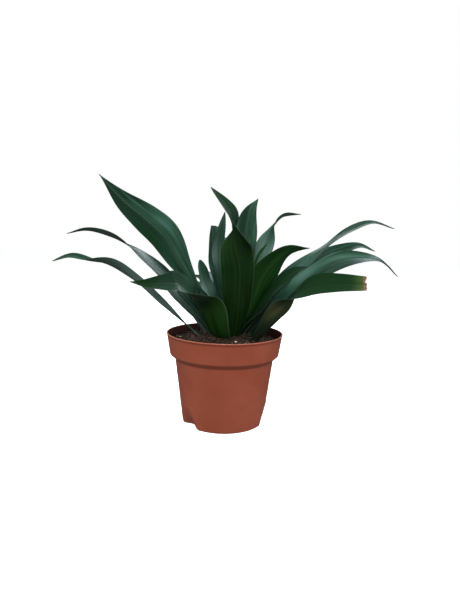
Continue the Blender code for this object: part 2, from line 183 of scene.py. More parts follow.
# Each leaf leaves the stem at the height `node` and its midrib runs through the points `via`.
# `width` is its widest, `peak` how far along that lies, `neck` and `taper` how fast it narrows
# before and after it, `reach` the share of the outline that is there on a cut leaf, `foot` its width on
# the stem, `gutter` the bend across it in degrees, `roll` its turn about the midrib from base to tip,
# and `twist` one sharp turn as (where, span, degrees). What a leaf leaves out is in PLAIN_LEAF.
PLAIN_LEAF = dict(peak=0.45, neck=0.8, taper=0.9, reach=1.0, foot=13.0, gutter=(60, 45, 30), roll=(0,))
LEAVES = {
    "leaf_left_low": dict(
        node=59, width=22, peak=0.6, neck=1.4, roll=(0, 0, 5, 25, 30, 20, -20, -45),
        via=[(-31, -4, 93), (-65.5, -8, 123), (-91, -9, 147), (-112, -9, 160.3), (-139, -8, 164.5),
             (-157, -6, 168), (-176, -4, 162.5)]),
    "leaf_right_cut": dict(
        node=60, width=31, peak=0.55, foot=11, neck=1, reach=0.76,
        roll=(0, -10, -15, -25, -16, 26, 40, 42, 38),
        via=[(31, -18, 89), (49, -35, 117), (65.5, -44, 137), (81, -51, 147), (102, -55, 150),
             (126, -61, 151)]),
    "leaf_back_right_low": dict(
        node=59, width=26, neck=1.6, foot=11,
        via=[(28, 28, 94), (58, 62, 126), (80, 86, 143), (94, 100, 143)]),
    "leaf_back_left_low": dict(
        node=65, width=25, foot=12,
        via=[(-24, 24, 97), (-54, 52, 123), (-80, 72, 137), (-98, 86, 134)]),
    "leaf_back_low": dict(
        node=69, width=30,
        via=[(-6, 38, 104), (-16, 84, 136), (-22, 122, 148), (-24, 150, 140), (-24, 168, 124)]),
    "leaf_right_low": dict(
        node=70, width=32, peak=0.5, gutter=(50, 36, 25), roll=(0, 8, 20, 32, 36, 26, 8),
        via=[(39, -6, 107), (64, -10, 134), (86, -13, 154), (107, -16, 168.5), (128, -18, 173.2),
             (151, -19, 171), (168, -19, 156.5)]),
    "leaf_left_mid": dict(
        node=74, width=27, peak=0.48, neck=0.85, roll=(0, -14, -26, -18, -8, 0, 16, 25, 10),
        via=[(-26, 6, 106), (-47, 14, 126), (-73, 28, 152), (-91, 33, 167.5), (-108, 36, 180),
             (-133, 40, 191), (-156, 42, 195.5), (-178, 44, 191)]),
    "leaf_right_mid": dict(
        node=77, width=26, peak=0.5, foot=11, roll=(0, 8, 22, 22, 18, 26, 34),
        via=[(39, 21, 110), (71, 36, 137), (102, 48, 167.5), (129, 54, 180.5), (151, 58, 186),
             (169, 60, 180)]),
    "leaf_back_right_mid": dict(
        node=80, width=28, neck=1.3, foot=10,
        via=[(12, 33, 112), (31, 72, 146), (50, 110, 158), (62, 132, 152)]),
    "leaf_front_folded": dict(
        node=80, width=37.7, peak=0.4, foot=18, taper=1.15, gutter=(50, 74, 58, 42),
        twist=(0.53, 0.28, -64),
        via=[(-7, -17, 92), (-18, -27.5, 121.5), (-28, -34, 130.5), (-45.5, -36.5, 146),
             (-49, -40, 146.5), (-74.5, -38, 145), (-91, -34, 146)]),
    "leaf_back_left_mid": dict(
        node=84, width=24, neck=1.4, foot=10.5,
        via=[(-21, 29, 119), (-50, 60, 143), (-70, 86, 146), (-80, 100, 140)]),
    "leaf_right_high": dict(
        node=84, width=25, peak=0.42, roll=(0, 4, 16, 6, -18, 10, 25),
        via=[(30, 15, 107), (63, 29, 142), (86, 37, 164), (108, 43, 182.5), (136, 50, 202),
             (162, 55, 212), (189, 59, 206)]),
    "leaf_front_tall": dict(
        node=86, width=34, foot=14, taper=0.8, gutter=(50, 30, 20), twist=(0.67, 0.34, -145),
        via=[(12, -18, 109), (13, -29, 138), (12.5, -34, 163), (7.5, -37, 182), (5.5, -38, 199),
             (3.5, -37, 212), (-3, -35, 222), (-16, -29, 236)]),
    "leaf_left_tall": dict(
        node=89, width=34.5, peak=0.58, neck=1.8, taper=1.3, roll=(0, -40, -60, -65, -65),
        via=[(-21, 8, 110), (-37, 18, 142), (-51, 25, 163), (-68.5, 32, 191.5), (-89, 40, 209),
             (-117, 50, 229.5), (-146, 60, 258)]),
    "leaf_right_inner": dict(
        node=90, width=24, roll=(0, 12, 18, 10),
        via=[(38, 5, 123), (56, 9, 145), (74, 12, 158), (97, 12, 163)]),
    "leaf_back_high": dict(
        node=95, width=30, foot=10,
        via=[(8, 26, 124), (12, 62, 168), (16, 100, 190), (20, 140, 188), (24, 164, 174)]),
    "leaf_front_right": dict(
        node=95, width=29, peak=0.52, neck=1.3, foot=12, roll=(0, -20, -40, -30, 0),
        via=[(23, -8, 113), (30.5, -12, 135), (37.5, -15, 152.5), (48, -18, 168), (61, -20, 178.5),
             (80, -22, 182)]),
    "leaf_left_droopy": dict(
        node=98, width=14, foot=10, roll=(0, -40),
        via=[(-12, 10, 112), (-18, 16, 133), (-26, 23, 146), (-36, 32, 150)]),
    "leaf_right_arched": dict(
        node=100, width=23, roll=(0, 6, 12, 20, 32, 28, -30, -35, -30),
        via=[(21, 11, 126), (32, 26, 158), (41.5, 38, 184), (50.5, 46, 205), (62, 52, 216.5),
             (82, 58, 219.5)]),
    "leaf_back_upright": dict(
        node=106, width=24, foot=11,
        via=[(1, 22, 129), (-2, 48, 166), (-6, 78, 188), (-8, 112, 192)]),
    "leaf_left_short": dict(
        node=109.3, width=19, foot=9, taper=0.6, roll=(0, -40),
        via=[(-12, 5, 124), (-20.5, 9, 141), (-28, 12, 167)]),
    "leaf_rear_blunt": dict(
        node=113.2, width=19, foot=9, reach=0.84, roll=(0, -20),
        via=[(-3, 10, 128), (-8.5, 19, 148), (-12.5, 25, 178), (-13.5, 29, 203)]),
    "leaf_rear_wide": dict(
        node=116.5, width=28, peak=0.55, foot=11, taper=1, roll=(0, 10),
        via=[(17, 16, 139), (20, 30, 178), (21, 38, 205), (25, 44, 222), (33, 56, 235)]),
    "leaf_centre_narrow": dict(
        node=119, width=19, roll=(0, -15),
        via=[(-2, 7, 133), (-7, 11, 152), (-9, 14, 183), (-3, 16, 217)]),
    "leaf_heart_outer": dict(
        node=119.5, width=16, foot=10,
        via=[(19, -5, 132), (26, 5, 155), (34, 10, 174), (42, 12, 186)]),
    "leaf_heart_inner": dict(
        node=124.5, width=15, foot=10,
        via=[(14, 2, 142), (20, 5, 172), (27, 7, 200)]),
}
PLAIN_KIND = "leaf_dark"
LEAF_KINDS = {
    "leaf_front_right": "leaf_young", "leaf_heart_outer": "leaf_young", "leaf_heart_inner": "leaf_young",
    "leaf_front_tall": "leaf_olive", "leaf_front_folded": "leaf_olive",
}

# Painted light and shade on each leaf, as how pale and blue it is painted: from 0 for its own
# deepest green to 1 and more for a painted sheen, and below 0 for painted shade deep in the plant: at
# its foot, in the middle on the side of its first and second edge, and at its tip
PLAIN_TONES = (0.3, 0.4, 0.4, 0.3)
LEAF_TONES = {
    "leaf_left_tall": (0.4, 0.85, -0.1, 0.1),
    "leaf_left_low": (0.6, 1.4, 1.6, 0.6),
    "leaf_left_mid": (0.0, 0.5, 0.25, 0.2),
    "leaf_left_short": (0.8, 1.3, 1.5, 0.9),
    "leaf_left_droopy": (0.3, 0.3, 0.3, 0.3),
    "leaf_front_folded": (0.4, 1.0, 1.15, -0.6),
    "leaf_front_tall": (0.15, 0.15, 0.25, 0.0),
    "leaf_rear_blunt": (0.5, 0.7, 0.7, 0.6),
    "leaf_centre_narrow": (0.8, 1.2, 1.4, 0.9),
    "leaf_rear_wide": (0.5, 0.6, 0.8, 0.5),
    "leaf_right_arched": (0.3, 1.3, 1.4, 0.8),
    "leaf_front_right": (1.0, 0.7, 0.9, 0.5),
    "leaf_right_high": (-0.4, 0.9, 1.0, 0.0),
    "leaf_right_mid": (-0.4, 1.4, 1.5, 0.8),
    "leaf_right_low": (-0.4, 0.3, 1.2, 0.2),
    "leaf_right_inner": (-0.5, -0.3, -0.2, 0.0),
    "leaf_back_right_low": (-0.4, 0.0, 0.0, 0.0),
    "leaf_right_cut": (0.5, -0.3, -0.2, -0.3),
    "leaf_heart_outer": (0.9, 1.0, 1.0, 1.0),
    "leaf_heart_inner": (0.9, 1.0, 1.0, 1.0),
}


# Node helpers

class Wire:
    """An output of a node, on which Python's operators add Math nodes."""

    def __init__(self, tree, node, output):
        self.tree = tree
        self.node = node
        self.socket = node.outputs[output]

    def out(self, output):
        return Wire(self.tree, self.node, output)

    def maths(self, operation, *values):
        return self.tree.add("Math", {"operation": operation}, dict(enumerate(values)))

    def __add__(self, other):
        return self.maths("ADD", self, other)

    def __radd__(self, other):
        return self.maths("ADD", other, self)

    def __sub__(self, other):
        return self.maths("SUBTRACT", self, other)

    def __rsub__(self, other):
        return self.maths("SUBTRACT", other, self)

    def __mul__(self, other):
        return self.maths("MULTIPLY", self, other)

    def __rmul__(self, other):
        return self.maths("MULTIPLY", other, self)

    def __truediv__(self, other):
        return self.maths("DIVIDE", self, other)

    def size(self):
        return self.maths("ABSOLUTE", self)

    def ramp(self, low, high):
        """0 below low, 1 above high and a smooth rise between; low may be the larger."""
        settings = {"interpolation_type": "SMOOTHSTEP"}
        return self.tree.add("MapRange", settings, {"Value": self, "From Min": low, "From Max": high})


class Tree:
    """A node tree in the making, closed by one node that the rest is wired into."""

    def __init__(self, node_tree, last):
        self.node_tree = node_tree
        self.last = node_tree.nodes[last]

    def add(self, kind, settings=None, sockets=None, output=0):
        made = self.node_tree.nodes.new("ShaderNode" + kind)
        for name, value in (settings or {}).items():
            setattr(made, name, value)
        for name, value in (sockets or {}).items():
            if isinstance(value, Wire):
                self.node_tree.links.new(value.socket, made.inputs[name])
            else:
                made.inputs[name].default_value = value
        return Wire(self, made, output)

    def feed(self, socket, wire):
        self.node_tree.links.new(wire.socket, self.last.inputs[socket])


class Finish(Tree):
    """A material in the making: constants go on its shader, and the rest is wired in."""

    def __init__(self, name, **constants):
        self.material = bpy.data.materials.new(name)
        self.material.use_nodes = True
        super().__init__(self.material.node_tree, "Principled BSDF")
        for socket, value in constants.items():
            self.last.inputs[socket.replace("_", " ")].default_value = value

    def place(self):
        return self.add("TexCoord", output="Object")

    def attribute(self, name, output="Fac"):
        return self.add("Attribute", {"attribute_name": name}, output=output)

    def split(self, wire):
        """The three parts of a vector."""
        parts = self.add("SeparateXYZ", None, {"Vector": wire})
        return parts, parts.out("Y"), parts.out("Z")

    def vector(self, x, y, z):
        return self.add("CombineXYZ", None, {"X": x, "Y": y, "Z": z})

    def stretch(self, wire, factors):
        return self.add("VectorMath", {"operation": "MULTIPLY"}, {0: wire, 1: factors})

    def noise(self, at, scale, detail=2.0, roughness=0.5):
        sockets = {"Vector": at, "Scale": scale, "Detail": detail, "Roughness": roughness}
        return self.add("TexNoise", None, sockets)

    def blend(self, share, first, second):
        """Colour that goes from first to second as share goes from 0 to 1."""
        colours = [value if isinstance(value, Wire) else (*value, 1.0) for value in (first, second)]
        sockets = {0: share, 6: colours[0], 7: colours[1]}
        return self.add("Mix", {"data_type": "RGBA"}, sockets, output=2)

    def bump(self, height, distance):
        """Relief from a field of heights, `distance` metres where the field is 1."""
        self.feed("Normal", self.add("Bump", None, {"Height": height, "Distance": distance}))


# Leaf finishes. A face goes from `deep` to `lit` as its tone of painted light and shade rises, with
# lines of `streak` along it that the tone strengthens into painted sheen, and its midrib in `rib`; its
# edge entry, where given, is the strength of a painted highlight along its second edge.

LEAF_FACES = {
    "leaf_dark_upper": dict(
        deep=(0.0030, 0.014, 0.007), lit=(0.013, 0.046, 0.026), streak=(0.040, 0.094, 0.076),
        rib=(0.022, 0.042, 0.022), roughness=0.30),
    "leaf_dark_underside": dict(
        deep=(0.008, 0.024, 0.011), lit=(0.030, 0.062, 0.040), streak=(0.060, 0.100, 0.075),
        rib=(0.026, 0.042, 0.020), roughness=0.36),
    # young leaves: their own fresher green, and partly painted light shining through them
    "leaf_young_upper": dict(
        deep=(0.003, 0.022, 0.003), lit=(0.009, 0.056, 0.008), streak=(0.020, 0.085, 0.020),
        rib=(0.020, 0.060, 0.010), roughness=0.32),
    "leaf_young_underside": dict(
        deep=(0.003, 0.020, 0.003), lit=(0.007, 0.038, 0.006), streak=(0.012, 0.050, 0.010),
        rib=(0.012, 0.036, 0.006), roughness=0.36),
    "leaf_olive_upper": dict(
        deep=(0.0040, 0.017, 0.008), lit=(0.012, 0.036, 0.018), streak=(0.028, 0.062, 0.044),
        rib=(0.020, 0.034, 0.012), roughness=0.28, edge_highlight=0.4),
    "leaf_olive_underside": dict(
        deep=(0.0024, 0.013, 0.0016), lit=(0.0055, 0.027, 0.0034), streak=(0.010, 0.036, 0.006),
        rib=(0.012, 0.028, 0.005), roughness=0.36, edge_highlight=0.4),
}


def leaf_finish(name, deep, lit, streak, rib, roughness, edge_highlight=0.0):
    """A face of a leaf, with fine lines along the blade, a paler midrib and painted light, shade and sheen.

    It reads the fields that make_leaf writes: across, along and half width, then the tone of painted
    light and shade, distance to the cut and the leaf's number. The faded, brown, worn and dry stretches
    show only on the cut leaf.
    """
    finish = Finish(name, Specular_IOR_Level=0.24)
    across, along, half = finish.split(finish.attribute("blade", "Vector"))
    tone, to_tip, number = finish.split(finish.attribute("painted_tone_cut_number", "Vector"))

    def lines_along(waves, seed, detail, roughness=0.5):
        return finish.noise(finish.vector(across * waves[0], along * waves[1], seed), 1.0, detail, roughness)

    fine = lines_along(FINE_LINES, number * 7.0, 3.0, 0.6)
    broad = lines_along(BROAD_LINES, number * 5.0, 2.0)
    band = lines_along(BANDS, number * 3.0, 1.0)
    patch = finish.noise(finish.place(), 60.0, 3.0)
    # painted light and shade: the tone, with the blade's lines and bands of painted sheen, runs deep to lit
    painted_lightness = tone * 0.8 + broad.ramp(0.32, 0.68) * 0.35 + band.ramp(0.32, 0.68) * 0.50
    body = finish.blend((painted_lightness - 0.35).ramp(0.0, 1.0), deep, lit)
    lines = (broad * 0.5 + fine * 0.5).ramp(0.48, 0.62)
    streaks = band.ramp(0.48, 0.70)
    # the fine lines grow paler with the tone, and the bands turn into streaks of painted sheen
    body = finish.blend(lines * (0.06 + tone * 0.45), body, streak)
    body = finish.blend(streaks * tone.ramp(0.1, 0.9) * 0.55, body, streak)
    # painted sheen where the tone passes 1
    body = finish.blend((tone - 1.0).ramp(0.0, 0.6) * 0.8, body, SHEEN_GREEN)
    body = finish.blend((across / MIDRIB_SHADE).size().ramp(1.0, 0.2) * 0.55, body, rib)
    body = finish.blend((half - across.size()).ramp(*MARGIN_LINE) * 0.35, body, MARGIN_GREEN)
    # a painted highlight along the second edge
    if edge_highlight:
        body = finish.blend((half - across).ramp(*HIGHLIGHT_LINE) * edge_highlight, body, HIGHLIGHT_GREEN)
    # painted shade where the tone falls below 0
    body = finish.blend(tone.ramp(0.1, -0.3) * 0.85, body, SHADE_GREEN)
    faded = (to_tip - FADED_PLACE).size().ramp(*FADED_RANGE) * (patch * 0.6 + streaks * 0.5)
    body = finish.blend(faded, body, FADED_OLIVE)
    body = finish.blend(to_tip.ramp(*BARE_RANGE) * 0.75, body, BARE_BROWN)
    worn = (1.0 - to_tip / WORN_LENGTH) * (0.6 + patch)
    body = finish.blend(worn.ramp(0.25, 1.0), body, WORN_GREEN)
    body = finish.blend((to_tip - patch * DRY_UNEVEN).ramp(*DRY_LINE), body, DRY_BROWN)
    finish.feed("Base Color", body)
    dull = tone.ramp(0.35, -0.2) * 0.60
    finish.feed("Roughness", roughness + dull + fine * 0.14 + patch * 0.08 - band.ramp(0.4, 0.7) * 0.06)
    finish.bump(broad, 0.00002)
    return finish.material


def margin_finish():
    finish = Finish("leaf_margin", Roughness=0.5, Specular_IOR_Level=0.2)
    patch = finish.noise(finish.place(), 120.0, 2.0)
    green = finish.blend(patch.ramp(0.35, 0.7), EDGE_DARK, EDGE_LIGHT)
    finish.feed("Base Color", green)
    return finish.material


def leaf_finishes():
    """The upper face, underside and edge of each kind of leaf."""
    edge = margin_finish()
    kinds = {}
    for kind in ("leaf_dark", "leaf_young", "leaf_olive"):
        names = (f"{kind}_upper", f"{kind}_underside")
        kinds[kind] = [leaf_finish(name, **LEAF_FACES[name]) for name in names] + [edge]
    return kinds


# Pot, soil and stem finishes

CLAY_DARK = (0.232, 0.052, 0.026)
CLAY_LIGHT = (0.272, 0.066, 0.036)
CLAY_SCUFFED = (0.34, 0.12, 0.08)
# painted shade under the lip band
PAINTED_LIP_SHADE = (0.11, 0.026, 0.014)
# painted highlight on the lip's top edge
PAINTED_LIP_HIGHLIGHT = (0.42, 0.20, 0.14)
# the inner wall: soil stain and painted shade, darker toward the soil
INNER_STAIN_SHADE_LOW = (0.018, 0.010, 0.008)
INNER_STAIN_SHADE_HIGH = (0.072, 0.022, 0.014)
UNDER_LIP_FOOT = (0.0900, 0.0914)       # heights in metres, from where it starts to where it is full
UNDER_LIP_TOP = (0.0930, 0.0920)
LIP_HIGHLIGHT_HEIGHTS = (0.0930, 0.0934)
INNER_HEIGHTS = (0.082, 0.093)
PEAT_DARK = (0.010, 0.007, 0.006)
PEAT_LIGHT = (0.034, 0.022, 0.017)
PEAT_SPECK = (0.085, 0.058, 0.042)
CRUMB_DARK = (0.012, 0.008, 0.007)
CRUMB_LIGHT = (0.060, 0.038, 0.027)
CRUMB_SPECK = (0.09, 0.06, 0.045)
GRIT_DARK = (0.42, 0.38, 0.32)
GRIT_LIGHT = (0.66, 0.62, 0.55)
CANE_DARK = (0.05, 0.06, 0.025)
CANE_LIGHT = (0.16, 0.16, 0.085)


def pot_finish():
    finish = Finish("pot_plastic", Specular_IOR_Level=0.28)
    place = finish.place()
    cloud = finish.noise(place, 26.0, 4.0, 0.6)
    scuff = finish.noise(finish.stretch(place, (1.0, 1.0, 9.0)), 60.0, 4.0, 0.7)
    grain = finish.noise(place, 1500.0, 2.0)
    height = finish.split(place)[2]
    colour = finish.blend(cloud.ramp(0.3, 0.75), CLAY_DARK, CLAY_LIGHT)
    colour = finish.blend(scuff.ramp(0.62, 0.8) * 0.25, colour, CLAY_SCUFFED)
    # painted shade under the lip band
    lip_shade = height.ramp(*UNDER_LIP_FOOT) * height.ramp(*UNDER_LIP_TOP)
    colour = finish.blend(lip_shade * 0.6, colour, PAINTED_LIP_SHADE)
    # painted highlight along the lip's top edge
    colour = finish.blend(height.ramp(*LIP_HIGHLIGHT_HEIGHTS) * 0.5, colour, PAINTED_LIP_HIGHLIGHT)
    # soil stain and painted shade on the inner wall, darker toward the soil
    stain_and_shade = finish.blend(height.ramp(*INNER_HEIGHTS), INNER_STAIN_SHADE_LOW, INNER_STAIN_SHADE_HIGH)
    colour = finish.blend(finish.attribute("inner"), colour, stain_and_shade)
    finish.feed("Base Color", colour)
    finish.feed("Roughness", 0.40 + 0.16 * scuff + 0.06 * grain)
    finish.bump(grain * 0.3 + scuff * 0.4, 0.00008)
    return finish.material


def soil_finish():
    finish = Finish("soil", Specular_IOR_Level=0.2)
    place = finish.place()
    clod = finish.noise(place, 160.0, 4.0, 0.65)
    speck = finish.noise(place, 900.0, 3.0, 0.7)
    colour = finish.blend(clod.ramp(0.3, 0.7), PEAT_DARK, PEAT_LIGHT)
    colour = finish.blend(speck.ramp(0.6, 0.78), colour, PEAT_SPECK)
    finish.feed("Base Color", colour)
    finish.feed("Roughness", 0.85 + speck * 0.12)
    finish.bump(clod + speck * 0.5, 0.0012)
    return finish.material


def crumb_finish():
    finish = Finish("peat_crumb", Specular_IOR_Level=0.2)
    tone = finish.attribute("tone")
    grain = finish.noise(finish.place(), 1200.0, 3.0, 0.6)
    colour = finish.blend(tone, CRUMB_DARK, CRUMB_LIGHT)
    finish.feed("Base Color", finish.blend(grain.ramp(0.4, 0.75) * 0.5, colour, CRUMB_SPECK))
    finish.feed("Roughness", 0.80 + 0.15 * grain)
    finish.bump(grain, 0.0003)
    return finish.material


def grit_finish():
    finish = Finish("pale_grit", Specular_IOR_Level=0.3)
    grain = finish.noise(finish.place(), 1500.0, 3.0, 0.6)
    finish.feed("Base Color", finish.blend(grain.ramp(0.35, 0.7), GRIT_DARK, GRIT_LIGHT))
    finish.feed("Roughness", 0.7 + 0.2 * grain)
    finish.bump(grain, 0.0002)
    return finish.material


def stem_finish():
    finish = Finish("stem_cane", Specular_IOR_Level=0.35)
    place = finish.place()
    rings = finish.noise(finish.stretch(place, (0.2, 0.2, 1.0)), 420.0, 3.0)
    finish.feed("Base Color", finish.blend(rings.ramp(0.35, 0.7), CANE_DARK, CANE_LIGHT))
    finish.feed("Roughness", 0.5 + 0.2 * rings)
    finish.bump(rings, 0.0004)
    return finish.material


# Mesh helpers

def mesh_piece(name, points, faces, materials, node=None, sharp=50):
    """A finished piece from points in millimetres, riding on the plant's one body."""
    mesh = bpy.data.meshes.new(name)
    mesh.from_pydata((np.asarray(points, float) * MM).tolist(), [], faces)
    mesh.validate()
    mesh.shade_smooth()
    mesh.set_sharp_from_angle(angle=radians(sharp))
    for material in materials:
        mesh.materials.append(material)
    ob = bpy.data.objects.new(name, mesh)
    bpy.context.scene.collection.objects.link(ob)
    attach(ob, "root")
    if node:
        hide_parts(node)
    return ob


def write_attribute(mesh, name, kind, values):
    layer = mesh.attributes.new(name, kind, "POINT")
    field = "vector" if kind == "FLOAT_VECTOR" else "value"
    layer.data.foreach_set(field, np.ravel(values).astype(np.float32))


def circle(radius, z, sides):
    turns = 2 * pi * np.arange(sides) / sides
    return np.stack([radius * np.cos(turns), radius * np.sin(turns), z + 0 * turns], -1)


def ring_skin(rings):
    """Points and faces of one closed body over a run of rings, capped at both ends."""
    rings = np.array(rings, float)
    count, sides = rings.shape[:2]
    faces = []
    for low in range(count - 1):
        for k in range(sides):
            after = (k + 1) % sides
            a, b = low * sides + k, low * sides + after
            faces.append((a, b, b + sides, a + sides))
    faces.append(tuple(range(sides))[::-1])
    faces.append(tuple(range((count - 1) * sides, count * sides)))
    return rings.reshape(-1, 3), faces


def rounded(corners, radius, steps=5):
    """A profile of (radius, height) corners with each inner corner rounded off."""
    path = [corners[0]]
    for before, corner, after in zip(corners, corners[1:], corners[2:]):
        corner = np.array(corner, float)
        back, on = np.array(before) - corner, np.array(after) - corner
        reach = min(radius, CORNER_SHARE * np.linalg.norm(back), CORNER_SHARE * np.linalg.norm(on))
        start = corner + back / np.linalg.norm(back) * reach
        end = corner + on / np.linalg.norm(on) * reach
        for t in np.linspace(0, 1, steps):
            path.append(tuple((1 - t)**2 * start + 2 * t * (1 - t) * corner + t**2 * end))
    path.append(corners[-1])
    return path


def resampled(path, longest):
    """The same profile with no step longer than `longest`."""
    out = [path[0]]
    for a, b in zip(path, path[1:]):
        steps = max(1, int(np.ceil(hypot(b[0] - a[0], b[1] - a[1]) / longest)))
        out += [(a[0] + (b[0] - a[0]) * k / steps, a[1] + (b[1] - a[1]) * k / steps)
                for k in range(1, steps + 1)]
    return out


# Pot

def scoop_depth(bearings, z):
    """Depth of the scoops at each bearing, in a parabola's outline with a low rim round it."""
    share = np.full(len(bearings), -1.0)
    for centre in SCOOP_BEARINGS:
        away = (bearings - radians(centre) + pi) % (2 * pi) - pi
        across = away * BASE_RADIUS / SCOOP_HALF_WIDTH
        share = np.maximum(share, 1 - z / SCOOP_HEIGHT - across**2)
    rim = SCOOP_RIM * np.exp(-((share * SCOOP_DEPTH + SCOOP_RIM_HALF) / SCOOP_RIM_HALF)**2)
    return SCOOP_DEPTH * np.maximum(share, 0)**SCOOP_CURVE - rim


def pot_ring(radius, z):
    """A ring of the pot, pressed in and lifted where it crosses a scoop."""
    turns = 2 * pi * np.arange(POT_SIDES) / POT_SIDES
    depth = scoop_depth(turns, z) if z < SCOOP_HEIGHT + SCOOP_RIM_REACH else 0 * turns
    across = radius - depth
    height = z + np.maximum(depth, 0) * SCOOP_LIFT / SCOOP_DEPTH
    return np.stack([across * np.cos(turns), across * np.sin(turns), height], -1)


def drill_drain_holes(pot):
    """Round holes through the base, cut with one set of pins."""
    points, faces = [], []
    for k in range(DRAIN_HOLES):
        bearing = 2 * pi * (k + 0.5) / DRAIN_HOLES
        place = (DRAIN_CIRCLE_RADIUS * cos(bearing), DRAIN_CIRCLE_RADIUS * sin(bearing), 0)
        rings = [circle(DRAIN_HOLE_RADIUS, z, DRAIN_PIN_SIDES) + place for z in (-1, 2 * POT_WALL)]
        pin, pin_faces = ring_skin(rings)
        faces += [[len(points) + corner for corner in face] for face in pin_faces]
        points += list(pin)
    mesh = bpy.data.meshes.new("drain_pins")
    mesh.from_pydata((np.array(points) * MM).tolist(), [], faces)
    pins = bpy.data.objects.new("drain_pins", mesh)
    bpy.context.scene.collection.objects.link(pins)
    cut = pot.modifiers.new("drain", "BOOLEAN")
    cut.operation = "DIFFERENCE"
    cut.solver = "MANIFOLD"
    cut.object = pins
    bpy.context.view_layer.update()
    drilled = pot.evaluated_get(bpy.context.evaluated_depsgraph_get())
    pot.data = bpy.data.meshes.new_from_object(drilled)
    pot.modifiers.clear()
    bpy.data.objects.remove(pins)


def make_pot(finish):
    """The pot as one turned skin, outside then inside, with its drain holes cut through it."""
    wall = POT_WALL
    outside = rounded([(BASE_PAN_RADIUS, 0), (BASE_RADIUS - BASE_SET_BACK, 0),
                       (BASE_RADIUS + BASE_FLARE, BASE_ROUND), (SHOULDER_RADIUS, SHOULDER_Z),
                       (COLLAR_FOOT_RADIUS, COLLAR_FOOT_Z),
                       (LIP_RADIUS - LIP_SET_BACK, POT_HEIGHT - LIP_UNDERSIDE),
                       (LIP_RADIUS, POT_HEIGHT - LIP_BAND), (LIP_RADIUS, POT_HEIGHT),
                       (LIP_RADIUS - wall, POT_HEIGHT)], POT_CORNER_ROUND)
    inside = rounded([(LIP_RADIUS - wall, POT_HEIGHT), (COLLAR_FOOT_RADIUS - wall, COLLAR_FOOT_Z),
                      (SHOULDER_RADIUS - wall, SHOULDER_Z), (BASE_RADIUS - wall, 2 * wall),
                      (BASE_RADIUS - 2 * wall, wall), (BASE_PAN_RADIUS, wall)], POT_CORNER_ROUND)
    profile = resampled(outside, OUTSIDE_STEP)
    outer_rings = len(profile)
    profile += resampled(inside, INSIDE_STEP)[1:]
    points, faces = ring_skin([pot_ring(radius, z) for radius, z in profile])
    pot = mesh_piece("moulded_pot", points, faces, [finish], "pot", sharp=40)
    inner = np.repeat(np.arange(len(profile)) >= outer_rings, POT_SIDES)
    write_attribute(pot.data, "inner", "FLOAT", inner)
    drill_drain_holes(pot)


# Soil

def value_noise(x, y, scale, seed):
    """Smooth noise from -1 to 1 over x and y, repeatable for a seed."""
    table = np.random.default_rng(seed).uniform(-1, 1, (NOISE_TABLE, NOISE_TABLE))
    u, v = np.asarray(x) / scale + NOISE_START[0], np.asarray(y) / scale + NOISE_START[1]
    i, j = np.floor(u).astype(int), np.floor(v).astype(int)
    f, g = u - i, v - j
    f, g = f * f * (3 - 2 * f), g * g * (3 - 2 * g)
    pick = lambda a, b: table[(i + a) % NOISE_TABLE, (j + b) % NOISE_TABLE]
    low = pick(0, 0) * (1 - f) + pick(1, 0) * f
    high = pick(0, 1) * (1 - f) + pick(1, 1) * f
    return low * (1 - g) + high * g


def soil_height(x, y):
    """Height of the soil's mounded and lumpy surface."""
    height = SOIL_EDGE_Z + SOIL_CROWN * (1 - (np.hypot(x, y) / LIP_RADIUS)**2)
    for seed, (rise, width) in enumerate(SOIL_BUMPS, SOIL_FIRST_SEED):
        height = height + rise * value_noise(x, y, width, seed)
    return height


def make_soil(finish):
    rings = []
    for share in np.linspace(0, 1, SOIL_RINGS + 1)[1:]:
        ring = circle(SOIL_EDGE_RADIUS * share**SOIL_CROWDING, 0, SOIL_SIDES)
        ring[:, 2] = soil_height(ring[:, 0], ring[:, 1])
        rings.append(ring)
    rings += [circle(radius, z, SOIL_SIDES) for radius, z in SOIL_BODY]
    points, faces = ring_skin(rings)
    mesh_piece("peat", points, faces, [finish], "soil", sharp=180)


GOLDEN = (1 + 5**0.5) / 2
ICOSAHEDRON = np.array([
    (-1, GOLDEN, 0), (1, GOLDEN, 0), (-1, -GOLDEN, 0), (1, -GOLDEN, 0), (0, -1, GOLDEN), (0, 1, GOLDEN),
    (0, -1, -GOLDEN), (0, 1, -GOLDEN), (GOLDEN, 0, -1), (GOLDEN, 0, 1), (-GOLDEN, 0, -1),
    (-GOLDEN, 0, 1)]) / hypot(1, GOLDEN)
ICOSAHEDRON_FACES = [
    (0, 11, 5), (0, 5, 1), (0, 1, 7), (0, 7, 10), (0, 10, 11), (1, 5, 9), (5, 11, 4), (11, 10, 2),
    (10, 7, 6), (7, 1, 8), (3, 9, 4), (3, 4, 2), (3, 2, 6), (3, 6, 8), (3, 8, 9), (4, 9, 5),
    (2, 4, 11), (6, 2, 10), (8, 6, 7), (9, 8, 1)]


def lump(rng, radius, stretch):
    """A rough grain from a stretched icosahedron with jittered corners."""
    corners = ICOSAHEDRON * rng.uniform(*GRAIN_JITTER, (GRAIN_CORNERS, 1)) * radius
    corners = corners * (stretch, 1.0, rng.uniform(*GRAIN_FLATNESS))
    turn, tip = rng.uniform(0, 2 * pi), rng.uniform(*GRAIN_TIP)
    spin = np.array(Matrix.Rotation(turn, 3, "Z") @ Matrix.Rotation(tip, 3, "X"))
    return corners @ spin.T


